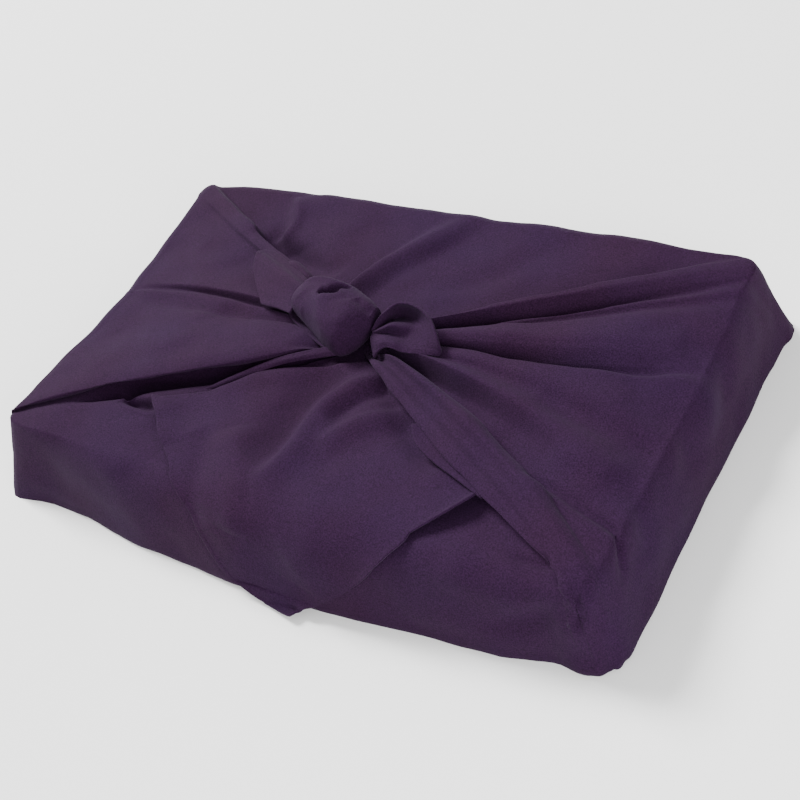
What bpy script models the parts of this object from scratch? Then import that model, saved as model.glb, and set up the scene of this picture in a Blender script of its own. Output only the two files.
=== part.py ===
"""Furoshiki wrap: one square of plain cloth wrapped round a flat box and tied on top.

The cloth is one piece, so it is one solid. Its frame: +Z up, the origin under the middle of the box, X along the
long side, the front (where the point of the flap hangs) at -Y.

Lines of cloth run from the knot to the rim of the top, as rays do. A place on the cloth is given by its angle
about the knot, in degrees, in a frame stretched so that the four corners of the box lie at 45, 135, 225 and 315,
and by how far out it is: 0 at the knot, 1 at the rim of the top. FOLDS has one row for each crest, trough and lip.
"""
import bpy
import bmesh
import numpy as np

MM = 0.001
NAME = "furoshiki_wrap"

# ---- driving sizes, in millimetres ----
TOP_HALF = np.array([176.0, 102.0])
BASE_HALF = np.array([189.0, 115.0])
TOP_HEIGHT = 50.0
CORNER_POWER = 22.0            # of the superellipse that rounds the corners
FRONT_SPREAD = 14.0            # how far the foot spreads under the flap
FRONT_SPREAD_LEAST = 3.0       # and at the two front corners
FRONT_SPREAD_REACH = 1.15      # where it is least, as a share of half the foot's length
KNOT_SEAT = 16.0               # rise of the cloth into the knot
LEFT_WAIST = 5.5               # how far the left rim is drawn in
LEFT_WAIST_ANGLE, LEFT_WAIST_WIDTH = 184.0, 30.0
OUT_KNOT, OUT_MID, OUT_EDGE = 0.20, 0.60, 1.0
RIM_PER_DEGREE = 3.3           # length along the rim for each degree round the knot, on average

# The flap: the back corner of the cloth, hanging over the front edge with a square point.
# Distances down the cloth are counted from the front rim.
FLAP_POINT_DROP = 70.0
FLAP_RIM_LEFT, FLAP_RIM_RIGHT = -57.0, 86.0
FLAP_POINT_X = 22.5
FLAP_START = -48.0
FLAP_FADE = -22.0
FLAP_SUNK = -0.6               # height over the parcel at its start, where it comes out of the parcel
FLAP_PROUD = 1.9               # height over the parcel further down
FLAP_ROOT = 2.4                # how deep it is joined into the parcel
FLAP_POINT_SPREAD = 1.30       # share of the way out to the foot at the point, which lies on the surface
FLAP_POINT_LEVEL = 2.3
FLAP_POINT_BLUNT = 2.5         # how much the point is cut short
FLAP_COLUMNS, FLAP_ROWS = 24, 18
FLAP_LIES_DOWN, FLAP_TURNS = 1.6, 1.3   # how soon it reaches the surface and lies flat there
FLOOR_GAP = 0.2
SIDE_LENGTH = 58.0             # length of cloth from the front rim to the foot

# Folds in order round the knot, anticlockwise from the right back corner.
# name, angle at the knot / half-way / at the rim, height over the top there in mm, strips to the next row
FOLDS = (
    ("back foot right",       41.0,  48.0,  47.5,   3.0, 0.3, 2.0,  2),
    ("back field right",      58.0,  64.0,  62.0,   3.5, 0.0, 5.0,  4),
    ("back ridge foot",       98.0,  93.0,  79.0,   4.5, 0.5, 6.0,  2),
    ("back ridge",           113.0, 103.0,  86.0,   9.0, 5.0, 7.5,  2),
    ("back ridge lee",       121.0, 111.0,  93.0,   4.5, 1.0, 5.0,  3),
    ("back crease foot",     127.0, 125.0, 117.0,   3.0, 0.3, 3.5,  1),
    ("back crease",          129.0, 128.5, 121.0,   3.0, 2.2, 4.5,  1),
    ("back foot left",       132.0, 133.0, 133.0,   2.0, 0.0, 2.0,  1),
    ("left rear edge",       133.5, 135.5, 135.0,   7.0, 4.5, 4.5,  2),
    ("left rear strip",      139.0, 138.5, 137.0,   9.0, 5.5, 4.0,  2),
    ("left rear hollow",     147.0, 146.0, 144.0,   7.0, 3.0, 1.5,  3),
    ("left rear field",      156.0, 157.0, 159.0,  10.0, 5.0, -0.5,  3),
    ("left upper ridge",     163.0, 166.0, 173.0,  13.0, 8.0, -0.5,  2),
    ("left upper groove",    172.0, 172.5, 177.0,   7.5, 4.0, -3.0,  2),
    ("left low ridge",       177.5, 177.5, 180.5,  11.0, 6.5, -2.5,  2),
    ("left low groove",      183.0, 182.0, 184.0,   9.0, 5.0, -3.5,  2),
    ("left field",           195.0, 193.0, 192.0,  12.0, 7.5, -2.0,  3),
    ("left soft ridge",      209.0, 205.0, 204.0,  13.0, 8.5, 1.5,  3),
    ("left front roll",      223.0, 216.0, 217.0,  13.0, 10.0, 5.0,  2),
    ("left front lip",       229.5, 221.5, 222.5,  11.0, 8.5, 4.5,  1),
    ("left front under",     231.0, 219.0, 221.0,   7.0, 4.5, 2.5,  1),
    ("left front foot",      232.5, 222.0, 223.5,   3.0, 0.3, 0.0,  3),
    ("flap left",          246.0, 240.0, 243.0,   2.5, 0.0, 0.0,  3),
    ("flap hollow left",   264.0, 263.0, 260.0,   2.5, -1.0, 0.5, 2),
    ("flap ridge",           287.0, 271.5, 267.0,   8.5, 4.5, 1.5,  2),
    ("flap hollow right",    293.0, 282.0, 278.0,   3.5, -0.5, 0.5,  3),
    ("flap right",         299.0, 297.0, 297.0,   3.0, 0.0, 0.0,  3),
    ("band foot",            303.5, 308.5, 314.0,   3.0, 0.3, 0.0,  1),
    ("band under",           305.0, 311.5, 315.0,   7.0, 4.0, 1.5,  1),
    ("band lip",             306.5, 306.5, 313.5,  11.0, 7.5, 2.5,  2),
    ("band crest",         314.0, 315.0, 316.5,  15.0, 11.0, 3.5, 3),
    ("band shoulder",      325.0, 322.0, 318.5,  13.0, 9.0, 3.0,  2),
    ("band foot right",    331.0, 327.5, 320.5,   7.0, 3.0, 1.5,  1),
    ("right valley",       336.0, 331.0, 323.0,   6.5, 2.5, 1.0,  3),
    ("right bulge",          352.0, 349.0, 338.0,  13.0, 8.5, 2.5,  4),
    ("right bulge edge",   361.0, 362.0, 372.0,  11.0, 7.0, 2.0,  2),
    ("right long groove",  366.0, 366.0, 377.0,   6.0, 2.5, 1.0,  1),
    ("right leaf edge",    370.0, 369.5, 380.0,  11.5, 7.5, 2.0,  2),
    ("right leaf",           380.0, 378.0, 387.0,  13.0, 9.0, 3.0,  3),
    ("right thin groove",  389.0, 391.0, 396.5,   9.5, 5.0, 1.5,  1),
    ("right thin ridge",   391.0, 393.5, 398.0,  10.5, 6.5, 2.5,  1),
    ("right deep groove",  394.0, 397.0, 400.0,   5.5, 2.5, 1.5,  2),
    ("right rear crest",     397.5, 403.5, 404.0,  12.5, 8.0, 5.0,  2),
    ("right rear edge",      399.0, 406.5, 406.0,   8.0, 4.5, 4.0,  1),
)

# Rings of the top, by how far out they lie.
TOP_RINGS = (0.07, 0.14, 0.20, 0.27, 0.36, 0.48, 0.60, 0.72, 0.83, 0.91, 0.97)

# Rings of the side, from the rim down to the floor.
# share of the way out to the foot, height in mm, lean of the cloth (0 lies flat, 1 upright), share of the fold left
SIDE_RINGS = (
    (0.05, 49.0, 0.35, 1.00),
    (0.11, 46.8, 0.60, 0.95),
    (0.21, 42.8, 0.80, 0.85),
    (0.38, 35.5, 0.95, 0.65),
    (0.58, 25.5, 1.00, 0.40),
    (0.78, 15.5, 1.00, 0.20),
    (0.93, 7.0, 1.00, 0.10),
    (1.00, 2.6, 1.00, 0.00),
    (0.985, 0.6, 1.00, 0.00),
    (0.95, 0.0, 1.00, 0.00),
)

WALL_RINGS = 7                 # of these, the ones above the turn at the foot

# Soft pleats on the side walls: angle and share down the side at both ends, height and half-width in mm
PLEATS = (
    ("left corner ear",   224.5, 0.35, 224.5, 1.00, 4.0, 9.0),
    ("left corner tuck",  228.0, 0.45, 231.0, 0.90, -3.5, 6.0),
    ("left corner pleat", 229.0, 0.20, 247.0, 0.85, 3.0, 7.0),
    ("right corner ear",  314.0, 0.70, 315.0, 1.00, 1.5, 9.0),
    ("right corner tuck", 310.0, 0.50, 307.0, 0.90, -3.0, 6.0),
)

# Turns of the knot and its free ends: x, y, z, half width and half height of the section, all in mm
KNOT_OVER = (
    (-8.0, 25.0, 57.0, 10.0, 5.0),
    (-4.0, 17.0, 65.0, 15.0, 7.0),
    (0.0, 4.0, 69.0, 17.0, 8.5),
    (2.0, -8.0, 65.5, 14.5, 8.0),
    (5.0, -19.0, 57.5, 8.5, 5.5),
)
KNOT_ROUND = (
    (4.0, 22.0, 60.0, 5.0, 5.0),
    (-14.0, 25.0, 64.0, 7.0, 6.0),
    (-31.0, 18.0, 65.0, 11.0, 8.0),
    (-31.0, 3.0, 63.0, 12.0, 8.0),
    (-19.0, -7.0, 59.0, 9.0, 7.0),
    (-6.0, -13.0, 54.0, 5.0, 5.0),
)
END_RIGHT = (
    (4.0, -7.0, 58.0, 6.0, 4.5),
    (16.0, -2.0, 62.0, 13.0, 7.5),
    (29.0, 3.0, 63.0, 17.5, 8.5),
    (42.0, 1.0, 60.5, 15.0, 7.5),
    (51.0, -3.0, 57.5, 8.0, 4.0),
)
# x and y of the middle of the hollow in the right end, its depth and its radius
END_RIGHT_HOLLOW = (23.0, 13.0, 9.0, 8.5)
END_LEFT = (
    (-34.0, 12.0, 62.0, 9.0, 3.0),
    (-50.0, 16.0, 62.0, 13.0, 2.4),
    (-66.0, 24.0, 60.5, 15.0, 2.2),
    (-82.0, 35.5, 58.8, 11.0, 2.0),
    (-95.0, 45.5, 57.2, 3.0, 1.6),
)

# Below 1, the ends of a turn are blunter than a sphere's, and its section squarer than an ellipse
ROLL_END_POWER, ROLL_SECTION_POWER = 0.6, 0.8

SHARP_FOLD = np.radians(50.0)  # faces that meet more sharply than this are not shaded as one
CLOTH_COLOUR = (0.070, 0.033, 0.088, 1.0)
CLOTH_ROUGHNESS = 0.85


def smooth(t):
    """Soft step from 0 to 1."""
    t = np.clip(t, 0.0, 1.0)
    return t * t * (3.0 - 2.0 * t)


def columns():
    """The fold table as arrays: angles (rows, 3), heights (rows, 3) and strips (rows)."""
    angles = np.array([row[1:4] for row in FOLDS])
    heights = np.array([row[4:7] for row in FOLDS])
    strips = np.array([row[7] for row in FOLDS])
    return angles, heights, strips


def along_fold(three, out):
    """Value on each fold at one ring: the parabola through its values at the knot, half-way and at the rim."""
    out = min(max(out, OUT_KNOT), OUT_EDGE)
    k = (out - OUT_MID) * (out - OUT_EDGE) / ((OUT_KNOT - OUT_MID) * (OUT_KNOT - OUT_EDGE))
    m = (out - OUT_KNOT) * (out - OUT_EDGE) / ((OUT_MID - OUT_KNOT) * (OUT_MID - OUT_EDGE))
    e = (out - OUT_KNOT) * (out - OUT_MID) / ((OUT_EDGE - OUT_KNOT) * (OUT_EDGE - OUT_MID))
    return three @ np.array([k, m, e])


def round_the_knot(rows, strips, turn):
    """Value on each meridian from one value for each fold: a cubic that is level at every crest and trough.

    turn is what one whole round adds: 360 for an angle and 0 for a height.
    """
    ahead = np.append(rows[1:], rows[0] + turn)
    rise = (ahead - rows) / strips
    before = np.roll(rise, 1)
    level = rise * before <= 0
    slope = np.where(level, 0.0, 2.0 * rise * before / np.where(level, 1.0, rise + before))
    slope_ahead = np.roll(slope, -1)
    row = np.repeat(np.arange(len(rows)), strips)
    first = np.repeat(np.cumsum(strips) - strips, strips)
    n = strips[row]
    t = (np.arange(len(row)) - first) / n
    return ((2 * t**3 - 3 * t**2 + 1) * rows[row] + (t**3 - 2 * t**2 + t) * n * slope[row]
            + (3 * t**2 - 2 * t**3) * ahead[row] + (t**3 - t**2) * n * slope_ahead[row])


def outline(angle, half):
    """Points of a rectangle with soft corners in the direction of each angle, and its outward directions."""
    c = np.cos(np.radians(angle))
    s = np.sin(np.radians(angle))
    reach = (np.abs(c)**CORNER_POWER + np.abs(s)**CORNER_POWER)**(-1.0 / CORNER_POWER)
    points = np.stack([half[0] * reach * c, half[1] * reach * s], axis=-1)
    nx = np.sign(c) * np.abs(reach * c)**(CORNER_POWER - 1) / half[0]
    ny = np.sign(s) * np.abs(reach * s)**(CORNER_POWER - 1) / half[1]
    away = np.stack([nx, ny], axis=-1)
    return points, away / np.linalg.norm(away, axis=-1, keepdims=True)


def rim_line(angle):
    """Outline of the top: the top rectangle, drawn in a little along the middle of the left side."""
    points, away = outline(angle, TOP_HALF)
    waist = LEFT_WAIST * np.exp(-((np.mod(angle, 360.0) - LEFT_WAIST_ANGLE) / LEFT_WAIST_WIDTH)**2)
    return points + np.column_stack([waist, 0.0 * waist]), away


def foot_line(angle):
    """Outline of the foot: the base rectangle, spread out along the middle of the front."""
    points, away = outline(angle, BASE_HALF)
    front = np.clip(-away[:, 1], 0.0, 1.0)
    middle = smooth(FRONT_SPREAD_REACH - np.abs(points[:, 0]) / BASE_HALF[0])
    spread = front * (FRONT_SPREAD_LEAST + (FRONT_SPREAD - FRONT_SPREAD_LEAST) * middle)
    points = points + np.stack([0 * spread, -spread], axis=-1)
    return points, away


def pleats(angle, down):
    """Height of the soft pleats at a place on the side: a bell across the line of each pleat."""
    total = np.zeros_like(angle)
    for _, a0, d0, a1, d1, height, half_width in PLEATS:
        run = np.array([(a1 - a0) * RIM_PER_DEGREE, (d1 - d0) * TOP_HEIGHT])
        px = (angle - a0) * RIM_PER_DEGREE
        py = (down - d0) * TOP_HEIGHT
        share = (px * run[0] + py * run[1]) / (run @ run)
        near = np.clip(share, 0.0, 1.0)
        gap = np.hypot(px - near * run[0], py - near * run[1])
        total += height * np.exp(-(gap / half_width)**2)
    return total


def flap_fold_height(angle, out):
    """Height of the flap's own folds at any angles, for one ring: level with its last rows beyond them."""
    angles, heights, strips = columns()
    at = round_the_knot(along_fold(angles, out), strips, 360.0)
    height = round_the_knot(along_fold(heights, out), strips, 0.0)
    names = [row[0] for row in FOLDS]
    starts = np.cumsum(strips) - strips
    first = starts[names.index("flap left")]
    last = starts[names.index("flap right")]
    return np.interp(angle, at[first:last + 1], height[first:last + 1])


def top_points(angle, height, out):
    """Points of the top at one ring."""
    rim, _ = rim_line(angle)
    sink = 1.0 - smooth(out / OUT_KNOT)
    z = TOP_HEIGHT + height * (1.0 - sink) + KNOT_SEAT * sink
    return np.column_stack([rim * out, z])


def side_points(angle, height, ring):
    """Points of the side at one ring: from the rim out to the foot, with what is left of each fold laid on."""
    share, level, lean, left = ring
    rim, away = rim_line(angle)
    foot, _ = foot_line(angle)
    place = rim + (foot - rim) * share
    proud = height * left + pleats(np.mod(angle, 360.0), 1.0 - level / TOP_HEIGHT)
    place = place + away * (proud * lean)[:, None]
    return np.column_stack([place, level + proud * (1.0 - lean)])


def parcel(place):
    """The wrapped box: a sphere whose meridians become lines of cloth from the knot to the middle of the base."""
    angles, heights, strips = columns()
    outs = TOP_RINGS + (OUT_EDGE,) * len(SIDE_RINGS)
    rings = []
    for j, out in enumerate(outs):
        angle = round_the_knot(along_fold(angles, out), strips, 360.0)
        height = round_the_knot(along_fold(heights, out), strips, 0.0)
        if j < len(TOP_RINGS):
            rings.append(top_points(angle, height, out))
        else:
            ring = SIDE_RINGS[j - len(TOP_RINGS)]
            angle += (np.sort(angle) - angle) * (1.0 - ring[3])
            rings.append(side_points(angle, height, ring))
    rings = np.array(rings)
    meridians = int(strips.sum())
    bm = bmesh.new()
    bmesh.ops.create_uvsphere(bm, u_segments=meridians, v_segments=len(outs) + 1, radius=1.0)
    for vert in bm.verts:
        x, y, z = vert.co
        j = int(round(np.arccos(np.clip(z, -1, 1)) / np.pi * (len(outs) + 1))) - 1
        k = int(round(np.arctan2(y, x) / (2 * np.pi) * meridians)) % meridians
        if j < 0:
            vert.co = (0.0, 0.0, (TOP_HEIGHT + KNOT_SEAT) * MM)
        elif j >= len(outs):
            vert.co = (0.0, 0.0, 0.0)
        else:
            vert.co = rings[j, k] * MM
    return finish_mesh(bm, NAME, place)


def flap_row(down, across, proud):
    """Points across the flap at one distance down from the rim."""
    left = FLAP_RIM_LEFT + (FLAP_POINT_X - FLAP_RIM_LEFT) * down / FLAP_POINT_DROP
    right = FLAP_RIM_RIGHT + (FLAP_POINT_X - FLAP_RIM_RIGHT) * down / FLAP_POINT_DROP
    x = left + (right - left) * (across + 1.0) / 2.0
    if down < 0.0:
        out = 1.0 + down / TOP_HALF[1]
        angle = 360.0 + np.degrees(np.arctan2(-out, x / TOP_HALF[0]))
        points = top_points(angle, flap_fold_height(angle, out), out)
        points[:, 2] += proud
        return points
    rings = np.array(SIDE_RINGS)[:WALL_RINGS]
    depth = 1.0 - rings[:, 1] / TOP_HEIGHT
    at = down / SIDE_LENGTH
    share, level, lean, left_over = [np.interp(at, depth, rings[:, i]) for i in range(4)]
    if at > depth[-1]:
        past = (at - depth[-1]) / (FLAP_POINT_DROP / SIDE_LENGTH - depth[-1])
        share += (FLAP_POINT_SPREAD - share) * past
        level += (FLAP_POINT_LEVEL - level) * smooth(FLAP_LIES_DOWN * past)
        lean = 1.0 - smooth(FLAP_TURNS * past)
    half = TOP_HALF[0] + (BASE_HALF[0] - TOP_HALF[0]) * min(share, 1.0)
    angle = 360.0 + np.degrees(np.arctan2(-1.0, x / half))
    points = side_points(angle, flap_fold_height(angle, OUT_EDGE), (share, level, lean, left_over))
    _, away = outline(angle, TOP_HALF)
    points[:, :2] += away * lean * proud
    points[:, 2] += (1.0 - lean) * proud
    return points


def flap(place):
    """The square point of the back corner: a grid laid on the top and the front, given its thickness inwards."""
    bm = bmesh.new()
    bmesh.ops.create_grid(bm, x_segments=FLAP_COLUMNS, y_segments=FLAP_ROWS, size=1.0)
    across = np.linspace(-1.0, 1.0, FLAP_COLUMNS + 1)
    downs = np.linspace(FLAP_START, FLAP_POINT_DROP - FLAP_POINT_BLUNT, FLAP_ROWS + 1)
    fade = smooth((downs - FLAP_START) / (FLAP_FADE - FLAP_START))
    prouds = FLAP_SUNK + (FLAP_PROUD - FLAP_SUNK) * fade
    grid = np.array([flap_row(down, across, proud) for down, proud in zip(downs, prouds)])
    for vert in bm.verts:
        i = int(round((vert.co.x + 1.0) / 2.0 * FLAP_COLUMNS))
        j = int(round((1.0 - vert.co.y) / 2.0 * FLAP_ROWS))
        vert.co = grid[j, i] * MM
    bmesh.ops.solidify(bm, geom=bm.faces[:], thickness=(FLAP_PROUD + FLAP_ROOT) * MM)
    for vert in bm.verts:
        vert.co.z = max(vert.co.z, FLOOR_GAP * MM)
    return finish_mesh(bm, "flap", place)


def curve_through(stations, count):
    """A smooth line through the rows of a table (Catmull-Rom), at count even steps."""
    rows = np.array(stations, dtype=float)
    rows = np.vstack([2 * rows[0] - rows[1], rows, 2 * rows[-1] - rows[-2]])
    u = np.linspace(0.0, len(rows) - 3 - 1e-9, count)
    i = u.astype(int)
    t = (u - i)[:, None]
    p0, p1, p2, p3 = rows[i], rows[i + 1], rows[i + 2], rows[i + 3]
    return 0.5 * (2 * p1 + (p2 - p0) * t + (2 * p0 - 5 * p1 + 4 * p2 - p3) * t**2
                  + (3 * p1 - p0 - 3 * p2 + p3) * t**3)


def roll_of_cloth(place, name, stations, around=14, along=12, hollow=None):
    """A turn of cloth in the knot: a sphere drawn out along a curve, with a flat oval section.

    A station is x, y, z of the middle and the half width and half height of the section there.
    """
    line = curve_through(stations, along + 1)
    middle = line[:, :3]
    ahead = np.gradient(middle, axis=0)
    ahead /= np.linalg.norm(ahead, axis=1, keepdims=True)
    side = np.cross(ahead, (0.0, 0.0, 1.0))
    side /= np.linalg.norm(side, axis=1, keepdims=True)
    up = np.cross(side, ahead)
    bm = bmesh.new()
    bmesh.ops.create_uvsphere(bm, u_segments=around, v_segments=along, radius=1.0)
    for vert in bm.verts:
        x, y, z = vert.co
        j = int(round(np.arccos(np.clip(z, -1, 1)) / np.pi * along))
        turn = np.arctan2(y, x)
        full = np.sqrt(max(0.0, 1.0 - z * z))**ROLL_END_POWER
        c = np.sign(np.cos(turn)) * abs(np.cos(turn))**ROLL_SECTION_POWER
        s = np.sign(np.sin(turn)) * abs(np.sin(turn))**ROLL_SECTION_POWER
        point = middle[j] + side[j] * (line[j, 3] * full * c) + up[j] * (line[j, 4] * full * s)
        if hollow is not None and s > 0:
            hollow_x, hollow_y, depth, radius = hollow
            away = np.hypot(point[0] - hollow_x, point[1] - hollow_y)
            point[2] -= depth * s * np.exp(-(away / radius)**2)
        vert.co = point * MM
    return finish_mesh(bm, name, place)


def finish_mesh(bm, name, place):
    """A smooth object from a closed bmesh, with its faces turned outwards."""
    bmesh.ops.recalc_face_normals(bm, faces=bm.faces)
    if bm.calc_volume(signed=True) < 0.0:
        bmesh.ops.reverse_faces(bm, faces=bm.faces)
    mesh = bpy.data.meshes.new(name)
    bm.to_mesh(mesh)
    bm.free()
    mesh.shade_smooth()
    mesh.set_sharp_from_angle(angle=SHARP_FOLD)
    obj = bpy.data.objects.new(name, mesh)
    place.objects.link(obj)
    return obj


def cloth_material():
    """Plain, matt, dark purple cloth."""
    material = bpy.data.materials.new("purple cloth")
    material.use_nodes = True
    surface = material.node_tree.nodes["Principled BSDF"]
    surface.inputs["Base Color"].default_value = CLOTH_COLOUR
    surface.inputs["Roughness"].default_value = CLOTH_ROUGHNESS
    surface.inputs["Metallic"].default_value = 0.0
    return material


def collection(name):
    """A new collection in the scene."""
    new = bpy.data.collections.new(name)
    bpy.context.scene.collection.children.link(new)
    return new


def build():
    """The whole wrap: the parcel, joined with the turns of the knot, its free ends and the flap."""
    for old in list(bpy.data.objects):
        bpy.data.objects.remove(old, do_unlink=True)
    shown = collection(NAME)
    joined = collection("joined_into_the_wrap")
    wrap = parcel(shown)
    wrap.data.materials.append(cloth_material())
    folds = (
        roll_of_cloth(joined, "knot_round", KNOT_ROUND, along=16),
        roll_of_cloth(joined, "end_left", END_LEFT),
        roll_of_cloth(joined, "knot_over", KNOT_OVER),
        roll_of_cloth(joined, "end_right", END_RIGHT, hollow=END_RIGHT_HOLLOW),
        flap(joined),
    )
    for fold in folds:
        fold.hide_render = True
        fold.display_type = "WIRE"
        join = wrap.modifiers.new(fold.name, "BOOLEAN")
        join.operation = "UNION"
        join.solver = "EXACT"
        join.object = fold


build()
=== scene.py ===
"""Furoshiki wrap: the looks of one square of dark purple crepe, wrapped round a flat box and tied on top.

Everything is in the frame of the solid: metres, +Z up, X along the long side of the box, the front at -Y. The
sizes below are in millimetres.
Lines of cloth run from the knot to the rim of the top, as rays do. A place on the wrap is given by its angle
about the knot, in a frame stretched so that the corners of the box lie at 45, 135, 225 and 315 degrees, by
how far out it is (0 at the knot, 1 at the rim of the top), and by how far down the side it is.
The cloth's plan is its place with the sides folded out flat: creases are placed on it.
"""
import bpy
import numpy as np
from mathutils import Matrix


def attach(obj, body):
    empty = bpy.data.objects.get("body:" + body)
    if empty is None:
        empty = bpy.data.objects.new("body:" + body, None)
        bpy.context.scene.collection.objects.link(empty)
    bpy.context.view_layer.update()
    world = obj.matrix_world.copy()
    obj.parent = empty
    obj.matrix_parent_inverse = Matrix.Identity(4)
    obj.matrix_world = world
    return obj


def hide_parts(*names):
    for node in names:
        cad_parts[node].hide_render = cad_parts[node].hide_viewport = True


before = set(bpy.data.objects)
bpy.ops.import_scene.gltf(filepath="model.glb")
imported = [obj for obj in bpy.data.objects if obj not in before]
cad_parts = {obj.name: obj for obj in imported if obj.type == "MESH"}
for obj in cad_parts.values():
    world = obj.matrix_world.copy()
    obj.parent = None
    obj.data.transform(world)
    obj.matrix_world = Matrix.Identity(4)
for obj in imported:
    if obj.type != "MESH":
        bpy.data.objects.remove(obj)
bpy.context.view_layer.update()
NODE = "furoshiki_wrap"
MM = 0.001

# ---- sizes of the wrapped box, in millimetres ----
TOP_HALF = np.array([176.0, 102.0])
BASE_HALF = np.array([189.0, 115.0])
TOP_HEIGHT = 50.0
CORNER_POWER = 22.0            # of the superellipse that rounds the corners
FRONT_FOOT = (
    # across the front, how far the foot lies out before the base rectangle there
    (-192.0,  4.5), (-180.0,  5.0), (-167.0,  2.0), (-154.0,  0.5), (-137.0,  2.5), (-119.0,  5.5),
    (-85.0,  10.0), (-40.0,  13.0), (0.0,    14.5), (47.0,   13.0), (90.0,   10.0), (132.0,   8.0),
    (150.0,   5.0), (160.0,   3.0), (170.0,   4.5), (180.0,   3.5), (192.0,   2.0),
)
KNOT_SEAT = -4.0               # the cloth runs down under the knot to this, from the top
LEFT_WAIST = 9.0               # how far the left rim is drawn in, about this angle and over this width
LEFT_WAIST_ANGLE, LEFT_WAIST_WIDTH = 180.0, 38.0
DROOP_START = 0.72             # how far out the top begins to fall towards the rim
BACK = 90.0                    # the angle of the middle of the back
RIM_DROOP = (
    # angle, which runs from BACK to a whole round past it, and how far the rim has fallen there
    (228.0, 0.0), (241.0, 2.5), (300.0, 2.5), (320.0, 2.5), (335.0, 4.5), (350.0, 5.2), (375.0, 5.0),
    (392.0, 2.5), (402.0, 0.0),
)
STRAIGHT_CORNERS = (45.0, 225.0)    # angles of the corners whose edges are drawn straight
STRAIGHT_CORNER_WIDTH = 8.0         # and over how many degrees
CORNER_EARS = (
    # angle of the corner, how far the cloth sticks out there at the rim (x, y) and at the foot (x, y)
    (45.0,  (4.5, 2.5),   (3.5, 2.0)),
    (225.0, (-4.5, -2.5), (-4.0, -2.0)),
)
AT_RIM, AT_FOOT = 1, 2              # their columns in the rows above
CORNER_EAR_WIDTH = 4.5
OUT_KNOT, OUT_MID, OUT_EDGE = 0.20, 0.60, 1.0   # how far out the fold table gives its angles and heights
SIDE_LENGTH = 58.0                  # length of cloth from the rim to the foot
CLOTH_THICK = 0.7
HEM_WIDTH, HEM_THICK = 3.0, 1.15
HEM_STEP, HEM_STEP_PAST = 0.8, 0.5  # width of the step down from the hem, and how much is past the hem
HEM_ROLL = 0.25                     # share of the hem's thickness that only its outermost edge has

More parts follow.
